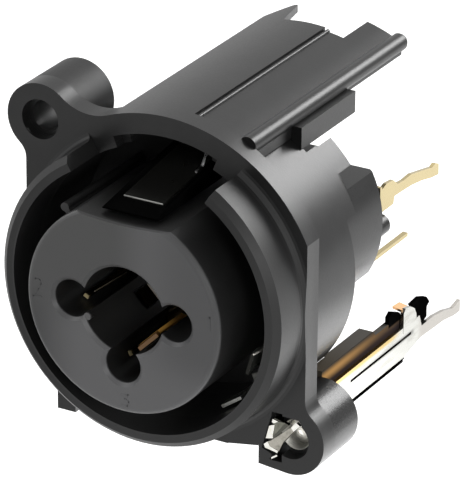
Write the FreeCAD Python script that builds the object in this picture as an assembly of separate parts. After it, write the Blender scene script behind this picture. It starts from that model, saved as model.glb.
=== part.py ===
"""Panel socket for a three-pin circular plug or a 6.35 mm jack plug, for upright board mounting.

The frame: X to the right, Y backwards through the panel, Z up, in millimetres.
The origin is the centre of the flange's front face, which seats behind the panel.
"""
import FreeCAD, Part
import math
import os

V = FreeCAD.Vector
BACK = V(0, 1, 0)

# Collar, bore and flange
collar_r = 11.95
collar_wall = 1.15
collar_front = -4.0
collar_chamfer = 0.5
collar_root_fillet = 0.6
collar_gap_half_angle = 31.8
bore_r = collar_r - collar_wall
seat_clearance = 0.05
round_steps = 4
flange_rim = 1.39
flange_r = collar_r + flange_rim
flange_t = 1.8
side_flat_depth = 1.24
flange_half_width = flange_r - side_flat_depth
side_flat_z = 5.4
bottom_flat_depth = 1.19
flange_bottom_z = bottom_flat_depth - flange_r

# Fixing ears on the diagonal
ear_angles = (135.0, -44.0)
ear_overhangs = (1.96, 1.76)
ear_r = 2.88
ear_depths = (6.0, 5.4)
ear_hole_r = 1.25
ear_recess_r = 1.6
ear_recess_depth = 1.0
ear_fillet_upper = 4.0
ear_fillet_side = 1.5
ear_rib_half_width = 1.55
ear_corner_x = -2.66
ear_corner_z = -2.64
ear_corner_run = 0.3
ear_mouth_x = -1.56
ear_mouth_width = 0.9
ear_mouth_top_z = 1.95
ear_mouth_low_z = -2.1
ear_slot_x = -1.60
ear_slot_width = 0.5
foot_x = -8.7
foot_width = 1.6
foot_drop = 0.8

# Barrel behind the flange
barrel_step = 0.05
barrel_r = collar_r - barrel_step
barrel_end = 8.0
cavity_floor = 6.4
band_end = 9.5
band_angles = (22.0, 50.5)
tab_end = 11.8
tab_angles = (37.5, 50.0)
tab_step = 0.15
band_inset = 0.2
lap = 0.5

# Latch window and the roof over the latch
window_step = 0.25
window_r = collar_r - window_step
window_half_angle = 18.5
notch_half_angle = 22.3
notch_depth = 1.0
channel_half_width = 2.6
channel_low = 4.7
channel_top = 0.6
roof_end = 22.0
roof_angles = (63.0, 110.5)
roof_step_angle = 83.5
roof_step = 0.29
roof_ridge_r = 0.16
roof_ridge_rise = 0.05
roof_ridge_set_back = 1.2
prong_tip = 25.7
prong_taper = 23.3
prong_t = 0.59
prong_angle = 92.0
prong_tip_x = 1.6
prong_root_x = 2.5
right_roof_end = 26.0
right_tail_angle = 76.3
left_wall_t = 0.9
left_wall_depth = 1.7
left_wall_drop = 0.4

# Beaded rail at the roof's right edge, with its lip, shelf and side plate
bead_r = 0.72
bead_sink = 0.27
bead_angle = 62.77
bead_end = 25.85
lip_width = 0.9
lip_drop = 0.82
lip_root_drop = 1.42
lip_end = 25.4
shelf_drop = 1.27
side_plate_start = 7.7
side_plate_end = 16.2
side_plate_offset = 1.32
side_plate_t = 0.9
side_plate_top_drop = 0.42
side_plate_low_drop = 2.17

# Front insert, with one jack bore and three pin openings
plug_gap = 2.54
insert_r = bore_r - plug_gap
insert_front = -6.3
insert_edge = 0.45
insert_flat_depth = 1.04
insert_flat_z = insert_r - insert_flat_depth
insert_flat_sag = 0.25
insert_flat_half = 4.0
jack_r = 3.5
pin_circle_r = 4.37
pin_r = 1.5
opening_chamfer = 0.25
shoulder_rib_r = 0.35
shoulder_rib_angle = 131.0
shoulder_rib_gap = 0.49
shoulder_rib_set_back = 1.5
shoulder_web_t = 0.44

# Rear contact block
block_step = 2.8
block_r = barrel_r - block_step
block_end = 18.0
block_edge = 0.3
ledge_z = 4.15
ledge_low_z = -4.4
ledge_start = 13.6
block_peg_r = 0.85
block_peg_inset = 0.95
block_peg_z = -0.8
block_peg_length = 1.2
cover_inset = 1.7
cover_r = block_r - cover_inset
cover_t = 1.2
cover_edge = 0.4
cover_hole_r = 3.3
cover_clearance = 0.06
wire_slot_clearance = 0.08
spring_slot_clearance = 0.1

# Contacts
tail_end = 28.0
sheet = 0.3
sleeve_play = 0.12
sleeve_r = pin_r - sleeve_play
sleeve_start = 2.5
sleeve_end = 9.0
sleeve_pocket = 2.5
sleeve_open_half_angle = 62.0
sleeve_wall = 0.24
tine_start = -3.2
tine_angle = 63.0
tine_half_angle = 9.0
tail_width = 1.0
tail_3_x = 5.85
tail_3_width = 0.9
tail_3_foot_width = 1.0
tail_3_tip_width = 0.44
tail_3_strip_gap = 0.1
tail_3_taper = (0.20, 0.29)
jog_low_z = 0.12
jog_high_z = 2.7
jog_outer_z = 2.4
blade_offset = 3.98
blade_foot_z = 0.55
blade_tip_z = (0.2, 1.1)
blade_low_edge = [(0.23, 0.55), (0.25, 1.15), (0.37, 1.1), (0.54, 1.0), (0.71, 0.75), (0.88, 0.35)]
blade_top_edge = [(0.94, 1.35), (0.89, 1.2), (0.70, 1.6), (0.53, 1.95), (0.40, 1.9), (0.30, 2.0),
                  (0.22, 2.6), (0.11, 2.7)]
spring_width = 1.5
spring_slot_width = 1.8
spring_seat = 0.35
spring_reach = 0.40
spring_seat_r = jack_r + spring_seat
spring_bumps = {"ring": 2.0, "tip": 9.5}
spring_angles = {"sleeve": -45.0, "ring": -135.0, "tip": 135.0}
wide_spring_width = 2.2
wide_spring_reach = 0.82
wide_spring_start = -5.95
wide_spring_end = -2.1
wide_slot_width = 2.7
wide_slot_start = -5.0
spring_lead = 0.5
spring_lead_rise = 0.12
spring_hook = 0.9
spring_ramp = 1.6
wide_spring_ramp = 1.2
wide_spring_neck = 2.4

# Shell ground spring in the cavity, one entry for each finger
shell_spring_t = 0.25
shell_spring_angles = (-66.0, -8.0)
shell_spring_width = 0.6
shell_finger_angles = (-15.5, -55.0)
shell_finger_widths = (1.8, 2.0)
shell_finger_tips = (-4.3, -0.2)
shell_finger_reaches = (0.5, 0.25)
shell_finger_bow = 1.0
shell_finger_slope = 3.4
shell_finger_set = 0.1
shell_spring_play = 0.04

# Ground contact and its carrier behind the lower ear, placed from the ear's centre
ground_x = -0.26
ground_top_z = 1.79
ground_link_top_z = 1.2
ground_low_z = -0.81
ground_tail_end = 0.29
ground_tail_low = [(0.03, -0.81), (0.32, -0.21), (0.54, -0.31), (0.71, -0.36), (0.89, -0.66), (1.0, -0.71)]
ground_tail_top = [(1.0, 0.29), (0.88, 0.04), (0.71, 0.49), (0.53, 0.74), (0.33, 0.74)]
ground_groove = (9.5, 19.5)
ground_slot_z = 0.84
ground_slot_half = 0.12
tongue_front = 0.05
tongue_a = [(-1.36, 1.45), (-0.11, 1.15), (-1.46, -0.4), (-1.91, -0.45)]
tongue_b = [(0.49, 1.45), (0.79, 1.25), (-0.61, -0.5), (-1.11, -1.5), (-1.46, -1.3), (-2.1, -1.05),
            (-1.86, -0.65), (-0.96, -0.1)]
tongue_pocket = [(-1.56, 1.8), (0.74, 1.75), (1.09, 1.15), (-0.46, -0.85), (-0.96, -1.85), (-2.4, -1.25),
                 (-2.1, -0.15)]
carrier_t = 1.2
carrier_skirt_t = 0.35
carrier_top_z = 3.29
carrier_end = 14.0
carrier_low_z = -0.96
carrier_low_end = 18.4
carrier_gap = 0.05
carrier_play = 0.02
carrier_shelf_z = 1.85
carrier_step = 0.25
carrier_chamfer = 0.4
carrier_lug_and_hook = [(16.3, 2.09), (16.3, 3.34), (16.8, 3.64), (18.1, 3.09), (18.4, 2.49), (18.0, 2.09),
                        (20.8, 2.09), (20.1, 2.94), (21.5, 3.04), (22.7, 2.59), (23.2, 1.99),
                        (22.75, 1.74), (22.75, 0.89), (21.7, 0.49), (21.0, 1.09), (18.4, 1.09)]

# Retention latch
pivot_y = 13.2
pivot_drop = 2.1
pivot_z = window_r - pivot_drop
pin_radius = 0.75
running_gap = 0.04
lever_half_width = 2.4
lever_nose = -5.2
lever_front = -4.0
latch_clearance = 0.13
lever_low_z = insert_flat_z + latch_clearance
lever_nose_t = 0.5
lever_nose_top_z = lever_low_z + lever_nose_t
lever_top_drop = 1.4
lever_top_z = window_r - lever_top_drop
lever_boss_r = 1.3
lever_boss_run = 1.8
lever_boss_step = 0.3
lever_belly_y = 6.5
lever_nose_chamfer = 0.25
lever_brow = 0.1
lever_bevel_width = 3.05
lever_bevel_depth = 1.35
leaf_left = -1.35
leaf_right = 2.05
leaf_front = -3.6
leaf_t = 0.25
leaf_end = 10.2
cheek_t = 0.85
cheek_length = 3.0
cheek_drop = 3.3
left_cheek_x = -2.55
right_cheek_x = 3.3
coil_wire_r = 0.14
coil_turns = 3
coil_play = 0.12
wire_r = 0.13
leg_exit = 2.2
leg_inward = 4.0
leg_inset = 0.5
leg_bend_y = 2.75
leg_drop = 0.42
leg_foot_y = 1.95
leg_foot_rise = 0.12
leg_tip_y = 1.1
leg_gap = 0.03
short_leg = 2.0


def cylinder(r, y0, y1, x=0.0, z=0.0):
    """Round solid along Y."""
    return Part.makeCylinder(r, y1 - y0, V(x, y0, z), BACK)


def block(x0, x1, y0, y1, z0, z1):
    """Square-edged solid between two corners."""
    return Part.makeBox(x1 - x0, y1 - y0, z1 - z0, V(x0, y0, z0))


def polar(r, angle, y=0.0):
    """Point at a radius and an angle about Y, measured from +X towards +Z."""
    a = math.radians(angle)
    return V(r * math.cos(a), y, r * math.sin(a))


def sector(r0, r1, a0, a1, y0, y1, x=0.0, z=0.0):
    """Part of a ring between two radii and two angles, extruded along Y."""
    mid = 0.5 * (a0 + a1)
    outer = Part.Arc(polar(r1, a0, y0), polar(r1, mid, y0), polar(r1, a1, y0)).toShape()
    inner = Part.Arc(polar(r0, a1, y0), polar(r0, mid, y0), polar(r0, a0, y0)).toShape()
    end_1 = Part.LineSegment(polar(r1, a1, y0), polar(r0, a1, y0)).toShape()
    end_0 = Part.LineSegment(polar(r0, a0, y0), polar(r1, a0, y0)).toShape()
    face = Part.Face(Part.Wire([outer, end_1, inner, end_0]))
    solid = face.extrude(V(0, y1 - y0, 0))
    solid.translate(V(x, 0, z))
    return solid


def prism(points, direction):
    """Flat outline through the given points, extruded by a vector."""
    return Part.Face(Part.makePolygon(points + points[:1])).extrude(direction)


def profile_xz(points, y0, y1):
    """Outline in X and Z, extruded along Y."""
    return prism([V(x, y0, z) for x, z in points], V(0, y1 - y0, 0))


def profile_yz(points, x0, x1):
    """Outline in Y and Z, extruded along X."""
    return prism([V(x0, y, z) for y, z in points], V(x1 - x0, 0, 0))


def profile_xy(points, z0, z1):
    """Outline in X and Y, extruded along Z."""
    return prism([V(x, y, z0) for x, y in points], V(0, 0, z1 - z0))


def turned(solid, angle):
    """Copy of a solid made along +X, turned about Y to an angle from +X towards +Z."""
    copy = solid.copy()
    copy.rotate(V(0, 0, 0), BACK, -angle)
    return copy


def save(shape, name):
    """Write one sub-part, cleaned of split faces."""
    solid = shape.removeSplitter()
    solid.exportStep("parts/" + name + ".step")
    print(name, "solids", len(solid.Solids), "volume", round(solid.Volume, 3), solid.isValid())


def ear_centre(k):
    """Centre of ear k in X and Z: 0 at the upper left, 1 at the lower right."""
    p = polar(flange_r + ear_overhangs[k], ear_angles[k])
    return p.x, p.z


def by_ear(points):
    """Points given from the lower ear's centre, moved to their place."""
    x, z = ear_centre(1)
    return [(x + dx, z + dz) for dx, dz in points]


ear_1 = ear_centre(0)
ear_2 = ear_centre(1)


def quarter_round(centre_r, centre_y, r, angle_0, angle_1):
    """Radius and Y of points along a round edge of a turned profile."""
    points = []
    for k in range(round_steps + 1):
        a = math.radians(angle_0 + (angle_1 - angle_0) * k / round_steps)
        points.append((centre_r + r * math.cos(a), centre_y + r * math.sin(a)))
    return points


def revolved(points):
    """Closed outline of radius and Y, turned about Y."""
    corners = [V(r, y, 0) for r, y in points]
    return Part.Face(Part.makePolygon(corners + corners[:1])).revolve(V(0, 0, 0), BACK, 360)


def collar_and_barrel():
    """Turned wall: chamfered collar, root fillet and barrel."""
    f = collar_root_fillet
    c = collar_chamfer
    seat_r = insert_r + seat_clearance
    outline = [(bore_r, collar_front), (collar_r - c, collar_front), (collar_r, collar_front + c)]
    outline += quarter_round(collar_r + f, -f, f, 180, 90)
    outline += [(collar_r + f, flange_t), (barrel_r, flange_t), (barrel_r, barrel_end),
                (seat_r, barrel_end), (seat_r, cavity_floor), (bore_r, cavity_floor)]
    gap = sector(bore_r - 1, collar_r + f + 1, 90 - collar_gap_half_angle,
                 90 + collar_gap_half_angle, collar_front - 1, 0)
    sides = block(-flange_half_width, flange_half_width, collar_front - 1, barrel_end + 1,
                  -collar_r - 1, collar_r + 1)
    return revolved(outline).cut(gap).common(sides)


def ear_outline():
    """Flange plate: a disc with two flat sides, a foot and the two ears."""
    disc = cylinder(flange_r, 0, flange_t)
    sides = block(-flange_half_width, flange_half_width, 0, flange_t, flange_bottom_z, flange_r + 1)
    plate = disc.common(sides)
    x1, z1 = ear_1
    x2, z2 = ear_2
    web_1 = profile_xz([(-flange_half_width, side_flat_z), (-flange_half_width, z1), (x1, z1), (0, 0)],
                       0, flange_t)
    web_2 = profile_xz([(flange_half_width, side_flat_z), (flange_half_width, z2), (x2, z2), (0, 0)],
                       0, flange_t)
    pads = cylinder(ear_r, 0, flange_t, x1, z1).fuse(cylinder(ear_r, 0, flange_t, x2, z2))
    left = x2 + ear_corner_x
    low = z2 + ear_corner_z
    corner = profile_xz([(left, flange_bottom_z + lap), (left, low),
                         (x2 - ear_corner_run, z2 - math.sqrt(ear_r ** 2 - ear_corner_run ** 2)), (x2, z2),
                         (left - ear_r, z2), (left - ear_r, flange_bottom_z)], 0, flange_t)
    foot = block(foot_x - foot_width / 2, foot_x + foot_width / 2, 0, flange_t,
                 flange_bottom_z - foot_drop, flange_bottom_z + 4 * lap)
    fillets = [disc_fillet(ear_1, -1, ear_fillet_upper),
               side_fillet(ear_1, -1, ear_fillet_side),
               side_fillet(ear_2, 1, ear_fillet_side)]
    return plate.multiFuse([web_1, web_2, pads, corner, foot] + fillets)


def disc_fillet(ear, turn, r):
    """Hollow fillet between an ear and the flange's round edge."""
    reach = math.hypot(*ear)
    to_disc = flange_r + r
    to_ear = ear_r + r
    share = (reach ** 2 + to_disc ** 2 - to_ear ** 2) / (2 * reach * to_disc)
    angle = math.degrees(math.atan2(ear[1], ear[0])) + turn * math.degrees(math.acos(share))
    centre = polar(to_disc, angle)
    filler = profile_xz([(0, 0), ear, (centre.x, centre.z)], 0, flange_t)
    return filler.cut(cylinder(r, -1, flange_t + 1, centre.x, centre.z))


def side_fillet(ear, side, r):
    """Hollow fillet between an ear and the flange's flat side."""
    x = side * (flange_half_width + r)
    rise = math.sqrt((ear_r + r) ** 2 - (x - ear[0]) ** 2)
    z = ear[1] - math.copysign(rise, ear[1])
    filler = profile_xz([(side * flange_half_width, z), ear, (x, z)], 0, flange_t)
    return filler.cut(cylinder(r, -1, flange_t + 1, x, z))


def roof():
    """Arched roof over the latch, with its prong, beaded rail and side walls."""
    low, high = roof_angles
    left = sector(window_r, flange_r, roof_step_angle, high, flange_t, roof_end)
    right = sector(window_r, flange_r - roof_step, low, roof_step_angle, flange_t, roof_end)
    right_tail = sector(window_r, flange_r - roof_step, low, right_tail_angle, roof_end, right_roof_end)
    ridge_at = polar(flange_r - roof_step + roof_ridge_rise, roof_step_angle - roof_ridge_set_back)
    ridge = cylinder(roof_ridge_r, flange_t, roof_end, ridge_at.x, ridge_at.z)
    edge = polar(flange_r, high)
    tip_x = edge.x + prong_tip_x
    root_x = edge.x + prong_root_x
    prong_plan = profile_xy([(edge.x, roof_end - 1), (edge.x, prong_taper), (tip_x - 0.4, prong_tip - 0.4),
                             (tip_x - 0.2, prong_tip - 0.08), (tip_x, prong_tip),
                             (tip_x + 0.2, prong_tip - 0.15), (root_x, roof_end), (root_x, roof_end - 1)],
                            0, flange_r + 1)
    prong = sector(flange_r - prong_t, flange_r, prong_angle, high, roof_end - 1, prong_tip)
    prong = prong.common(prong_plan)
    at = polar(flange_r - bead_sink, bead_angle)
    bead = cylinder(bead_r, flange_t, bead_end, at.x, at.z)
    nub = Part.makeCone(bead_r, 0.8 * bead_r, 0.4 * bead_r, V(at.x, bead_end, at.z), BACK)
    nub = nub.fuse(Part.makeCone(0.8 * bead_r, 0.4 * bead_r, 0.25 * bead_r,
                                 V(at.x, bead_end + 0.4 * bead_r, at.z), BACK))
    x0 = at.x - lip_width / 2
    x1 = at.x + lip_width / 2
    plate_x = at.x + side_plate_offset
    plate_top = at.z - side_plate_top_drop
    lip = block(x0, x1, flange_t, lip_end, at.z - lip_drop, at.z)
    root = block(x0, x1, flange_t, barrel_end, at.z - lip_root_drop, at.z)
    side = block(plate_x - side_plate_t, plate_x, side_plate_start, side_plate_end,
                 at.z - side_plate_low_drop, plate_top)
    shelf = block(x0, plate_x, side_plate_start, side_plate_end, at.z - shelf_drop, plate_top)
    wall_top = edge.z - left_wall_drop
    left_wall = block(edge.x, edge.x + left_wall_t, flange_t, roof_end, wall_top - left_wall_depth, wall_top)
    return left.multiFuse([right, right_tail, ridge, prong, bead, nub, lip, root, side, shelf, left_wall])


def pivot_cheeks():
    """Two ribs under the roof that hold the latch pin."""
    y0 = pivot_y - cheek_length / 2
    y1 = pivot_y + cheek_length / 2
    cheeks = []
    for x0 in (left_cheek_x - cheek_t, right_cheek_x):
        blank = block(x0, x0 + cheek_t, y0, y1, window_r - cheek_drop, flange_r)
        cheeks.append(blank.common(cylinder(window_r + lap, y0, y1)))
    pair = cheeks[0].fuse(cheeks[1])
    length = right_cheek_x - left_cheek_x + 2 * cheek_t
    hole = Part.makeCylinder(pin_radius, length + 2, V(left_cheek_x - cheek_t - 1, pivot_y, pivot_z),
                             V(1, 0, 0))
    return pair.cut(hole)


def ear_rib(ear, depth):
    """Solid web between a boss and the barrel."""
    reach = math.hypot(*ear)
    ux = ear[0] / reach
    uz = ear[1] / reach
    w = ear_rib_half_width
    start = barrel_r + seat_clearance
    corners = [(start, -w), (start, w), (reach, w), (reach, -w)]
    return profile_xz([(r * ux - o * uz, r * uz + o * ux) for r, o in corners], 0, depth)


def ear_cuts():
    """Screw holes with their recesses, and the lower ear's mouth, pocket and slot for the ground contact."""
    cuts = []
    for ear, depth in zip((ear_1, ear_2), ear_depths):
        cuts.append(cylinder(ear_hole_r, -1, depth + 1, *ear))
        cuts.append(cylinder(ear_recess_r, -1, ear_recess_depth, *ear))
    x, z = ear_2
    left = x + ear_mouth_x
    cuts.append(block(left, left + ear_mouth_width, -1, ear_recess_depth,
                      z + ear_mouth_low_z, z + ear_mouth_top_z))
    left = x + ear_slot_x
    cuts.append(block(left, left + ear_slot_width, -1, ear_depths[1] + 1,
                      z + ground_low_z - seat_clearance, z + ground_top_z + seat_clearance))
    cuts.append(profile_xz(by_ear(tongue_pocket), -1, tongue_front + 2 * sheet + seat_clearance))
    return cuts


def housing():
    """Collar, flange, ears, barrel and roof in one moulding."""
    body = collar_and_barrel().fuse(ear_outline())
    parts = [roof()]
    for ear, depth in zip((ear_1, ear_2), ear_depths):
        parts.append(cylinder(ear_r, 0, depth, *ear))
        parts.append(ear_rib(ear, depth))
    inner = bore_r - band_inset
    parts.append(sector(inner, barrel_r, band_angles[0], band_angles[1], barrel_end - lap, band_end))
    parts.append(sector(inner, barrel_r - tab_step, tab_angles[0], tab_angles[1], band_end - lap, tab_end))
    body = body.multiFuse(parts)
    cavity = cylinder(bore_r, collar_front - 1, cavity_floor)
    through = cylinder(insert_r + seat_clearance, cavity_floor - 1, barrel_end + 5)
    window = sector(bore_r - 2, window_r, 90 - window_half_angle, 90 + window_half_angle,
                    -1, roof_end + 1)
    notches = sector(bore_r - 2, window_r, 90 - notch_half_angle, 90 + notch_half_angle,
                     -1, notch_depth)
    channel = block(-channel_half_width, channel_half_width, -1, right_roof_end + 1,
                    window_r - channel_low, window_r - channel_top)
    for cutter in [cavity, through, window, notches, channel] + ear_cuts():
        body = body.cut(cutter)
    return body.fuse(pivot_cheeks())


def front_insert():
    """Round tower with the jack bore, three pin openings and a flat for the latch."""
    rim = quarter_round(insert_r - insert_edge, insert_front + insert_edge, insert_edge, -90, 0)
    tower = revolved([(0, insert_front)] + rim + [(insert_r, barrel_end), (0, barrel_end)])
    sag_r = (insert_flat_half ** 2 + insert_flat_sag ** 2) / (2 * insert_flat_sag)
    flat = block(-insert_r, insert_r, insert_front - 1, barrel_end + 1, insert_flat_z, insert_r + 1)
    hollow = cylinder(sag_r, insert_front - 1, barrel_end + 1, 0, insert_flat_z + sag_r - insert_flat_sag)
    tower = tower.cut(flat.fuse(hollow))
    mouths = [(0.0, 0.0, jack_r)] + [(*pin_place(k), pin_r) for k in (1, 2, 3)]
    for x, z, r in mouths:
        tower = tower.cut(cylinder(r, insert_front - 1, barrel_end + 1, x, z))
    for x, z, r in mouths:
        lead = Part.makeCone(r + opening_chamfer, r, opening_chamfer, V(x, insert_front, z), BACK)
        tower = tower.cut(lead)
    for name, angle in spring_angles.items():
        wide = name == "sleeve"
        half = (wide_slot_width if wide else spring_slot_width) / 2
        start = wide_slot_start if wide else spring_bumps["ring"] - 1.5
        slot = block(jack_r - 1, spring_seat_r + sheet + spring_slot_clearance, start, barrel_end + 1,
                     -half, half)
        tower = tower.cut(turned(slot, angle))
    start = insert_front + shoulder_rib_set_back
    at = polar(insert_r + shoulder_rib_gap, 0)
    rib = cylinder(shoulder_rib_r, start, cavity_floor, at.x, at.z)
    web = block(insert_r - lap, at.x, start, cavity_floor, -shoulder_web_t / 2, shoulder_web_t / 2)
    return tower.fuse(turned(rib.fuse(web), shoulder_rib_angle))


def pin_place(k):
    """Centre of pin opening k in X and Z: 1 at the right, 2 at the left, 3 below."""
    angle = {1: 0.0, 2: 180.0, 3: -90.0}[k]
    p = polar(pin_circle_r, angle)
    return p.x, p.z


def contact_sleeve(k):
    """Open-sided sleeve that grips the pin, clear of the jack bore, with two tines in front."""
    angle = {1: 0.0, 2: 180.0, 3: -90.0}[k]
    x, z = pin_place(k)
    half = 180.0 - sleeve_open_half_angle
    inner = sleeve_r - sleeve_wall
    sleeve = sector(inner, sleeve_r, angle - half, angle + half, sleeve_start, sleeve_end, x, z)
    tines = [sector(inner, sleeve_r, middle - tine_half_angle, middle + tine_half_angle,
                    tine_start, sleeve_start + 1, x, z)
             for middle in (angle - tine_angle, angle + tine_angle)]
    return sleeve.multiFuse(tines)


def along_tail(points):
    """Points whose first value is a share of the way from the block's back to the tail's end."""
    return [(block_end + share * (tail_end - block_end), z) for share, z in points]


def xlr_contact(k):
    """Sleeve, strip through the block and soldering tail."""
    sleeve = contact_sleeve(k)
    x, z = pin_place(k)
    half_w = tail_width / 2
    jog_y = block_end + wire_slot_clearance
    if k == 3:
        out_z = z - sleeve_r
        turn_y = ledge_start + tail_3_strip_gap
        foot = tail_3_foot_width / 2
        tip = tail_3_tip_width / 2
        (taper_0, _), (taper_1, _) = along_tail([(share, 0) for share in tail_3_taper])
        strip = block(-half_w, half_w, sleeve_end - 2 * lap, turn_y + tail_width, out_z, out_z + sheet)
        plan = profile_xy([(-half_w, turn_y), (tail_3_x + foot, turn_y), (tail_3_x + foot, taper_0),
                           (tail_3_x + tip, taper_1), (tail_3_x + tip, tail_end), (tail_3_x - tip, tail_end),
                           (tail_3_x - tip, taper_1), (tail_3_x - foot, taper_0),
                           (tail_3_x - foot, turn_y + tail_width), (-half_w, turn_y + tail_width)],
                          out_z, out_z + sheet)
        return sleeve.multiFuse([strip, plan])
    side = 1.0 if k == 1 else -1.0
    out_x = x + side * sleeve_r
    inner_x = out_x - side * sheet
    strip = block(min(out_x, inner_x), max(out_x, inner_x), sleeve_end - 2 * lap, jog_y + sheet,
                  -half_w, half_w)
    tail_x = x + side * blade_offset
    jog = block(min(inner_x, tail_x + side * sheet), max(inner_x, tail_x + side * sheet),
                jog_y, jog_y + sheet, jog_low_z, jog_high_z)
    tip_low, tip_top = blade_tip_z
    outline = [(jog_y, blade_foot_z)] + along_tail(blade_low_edge)
    outline += [(tail_end, tip_low), (tail_end, tip_top)] + along_tail(blade_top_edge)
    outline.append((jog_y, jog_outer_z))
    x0 = min(tail_x, tail_x + side * sheet)
    blade = profile_yz(outline, x0, x0 + sheet)
    return sleeve.multiFuse([strip, jog, blade])


def jack_spring(name):
    """Leaf beside the jack bore that presses on the plug, and its tail through the cover."""
    seat = spring_seat_r
    if name == "sleeve":
        half = wide_spring_width / 2
        low = jack_r - wide_spring_reach
        points = [(wide_spring_start, low + spring_lead_rise), (wide_spring_start + spring_lead, low),
                  (wide_spring_end, low), (wide_spring_end + wide_spring_ramp, seat), (tail_end, seat)]
        neck = wide_spring_end + wide_spring_neck
    else:
        half = spring_width / 2
        low = jack_r - spring_reach
        bump = spring_bumps[name]
        points = [(bump - spring_hook, jack_r), (bump, low), (bump + spring_ramp, seat), (tail_end, seat)]
        neck = block_end - cover_t
    outer = [(y, r + sheet) for y, r in reversed(points)]
    leaf = prism([V(r, y, -half) for y, r in points + outer], V(0, 0, 2 * half))
    neck_half = spring_width / 2
    tail_half = tail_3_width / 2
    for start, keep in ((neck, neck_half), (block_end - cover_t - cover_clearance, tail_half)):
        for z0, z1 in ((keep, half + 1), (-half - 1, -keep)):
            leaf = leaf.cut(block(0, 2 * seat, start, tail_end + 1, z0, z1))
    return turned(leaf, spring_angles[name])


def contact_block():
    """Drum behind the insert that holds the contacts, with a stepped top and a peg."""
    drum = cylinder(block_r, barrel_end, block_end)
    rim = [e for e in drum.Edges if abs(e.CenterOfMass.y - block_end) < seat_clearance]
    drum = drum.makeChamfer(block_edge, rim)
    wide = 2 * block_r
    drum = drum.cut(block(-wide, wide, ledge_start, block_end + 1, ledge_z, wide))
    drum = drum.cut(block(-wide, wide, ledge_start, block_end + 1, -wide, ledge_low_z))
    drum = drum.cut(block(-wide, wide, barrel_end - 1, ledge_start + 1, insert_flat_z, wide))
    peg = cylinder(block_peg_r, block_end - lap, block_end + block_peg_length,
                   block_r - block_peg_inset, block_peg_z)
    drum = drum.fuse(peg)
    drum = drum.cut(cylinder(jack_r, barrel_end - 1, block_end + 1))
    recess = cylinder(cover_r, block_end - cover_t, block_end + 1)
    drum = drum.cut(recess.common(cover_band(cover_clearance)))
    for k in (1, 2, 3):
        x, z = pin_place(k)
        drum = drum.cut(cylinder(pin_r, barrel_end - 1, sleeve_end + sleeve_pocket, x, z))
        drum = drum.cut(strip_passage(k, barrel_end - 1, block_end + 1))
    for angle in spring_angles.values():
        slot = block(jack_r - 1, spring_seat_r + sheet + spring_slot_clearance, barrel_end - 1,
                     block_end + 1, -spring_slot_width / 2, spring_slot_width / 2)
        drum = drum.cut(turned(slot, angle))
    return drum


def cover_band(clearance):
    """Space between the block's two flats that the rear cover fills."""
    wide = 2 * block_r
    return block(-wide, wide, 0, block_end + 1, ledge_low_z + cover_edge - clearance,
                 ledge_z - cover_edge + clearance)


def strip_passage(k, y0, y1):
    """Slot for the strip of contact k through a moulding."""
    x, z = pin_place(k)
    g = wire_slot_clearance
    w = tail_width / 2 + g
    if k == 3:
        return block(-w, w, y0, y1, z - sleeve_r - g, z - sleeve_r + sheet + g)
    side = 1.0 if k == 1 else -1.0
    out_x = x + side * sleeve_r
    inner_x = out_x - side * sheet
    return block(min(out_x, inner_x) - g, max(out_x, inner_x) + g, y0, y1, -w, w)


def rear_cover():
    """Thin plate let into the back of the block, slotted for every contact."""
    plate = cylinder(cover_r - cover_clearance, block_end - cover_t, block_end)
    plate = plate.common(cover_band(0.0))
    plate = plate.cut(cylinder(cover_hole_r, 0, block_end + 1))
    for k in (1, 2):
        plate = plate.cut(strip_passage(k, block_end - cover_t - 1, block_end + 1))
    half = tail_3_width / 2 + cover_clearance
    for angle in spring_angles.values():
        slot = block(cover_hole_r - 1, spring_seat_r + sheet + wire_slot_clearance,
                     block_end - cover_t - 1, block_end + 1, -half, half)
        plate = plate.cut(turned(slot, angle))
    return plate


def shell_ground_spring():
    """Strip along the cavity floor's rim with two fingers that rise along the wall and bow inwards."""
    a0, a1 = shell_spring_angles
    t = shell_spring_t
    outer = bore_r - shell_spring_play
    base = sector(outer - shell_spring_width, outer, a0, a1, cavity_floor - t, cavity_floor)
    wall = cylinder(outer, collar_front - 1, cavity_floor)
    fingers = []
    for angle, width, tip, reach in zip(shell_finger_angles, shell_finger_widths,
                                        shell_finger_tips, shell_finger_reaches):
        bowed = outer - reach
        points = [(cavity_floor, outer), (tip + shell_finger_slope, outer - shell_finger_set),
                  (tip + shell_finger_bow, bowed - shell_finger_set), (tip, bowed)]
        outline = points + [(y, r - t) for y, r in reversed(points)]
        finger = prism([V(r, y, -width / 2) for y, r in outline], V(0, 0, width))
        fingers.append(turned(finger.common(wall), angle))
    return base.multiFuse(fingers)


def ground_contact():
    """Folded strip from the lower ear to the board, with two panel tongues and its tail."""
    x, z = ear_2
    top = z + ground_top_z
    low = z + ground_low_z
    rear = ear_depths[1] + carrier_gap
    edges = ground_tail_low + ground_tail_top + [(ground_tail_end, ground_top_z)]
    outline = [(rear, low)] + [(y, z + dz) for y, dz in along_tail(edges)] + [(rear, top)]
    strip = profile_yz(outline, x + ground_x, x + ground_x + sheet)
    groove = z + ground_slot_z
    strip = strip.cut(block(x - 1, x + 1, *ground_groove, groove - ground_slot_half,
                            groove + ground_slot_half))
    link_x = x + ear_slot_x + (ear_slot_width - sheet) / 2
    link = block(link_x, link_x + sheet, tongue_front + sheet, rear + sheet, low, z + ground_link_top_z)
    jog = block(link_x, x + ground_x + sheet, rear, rear + sheet, low, top)
    tongues = [profile_xz(by_ear(points), tongue_front, tongue_front + sheet)
               for points in (tongue_a, tongue_b)]
    return strip.multiFuse([link, jog] + tongues)


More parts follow.
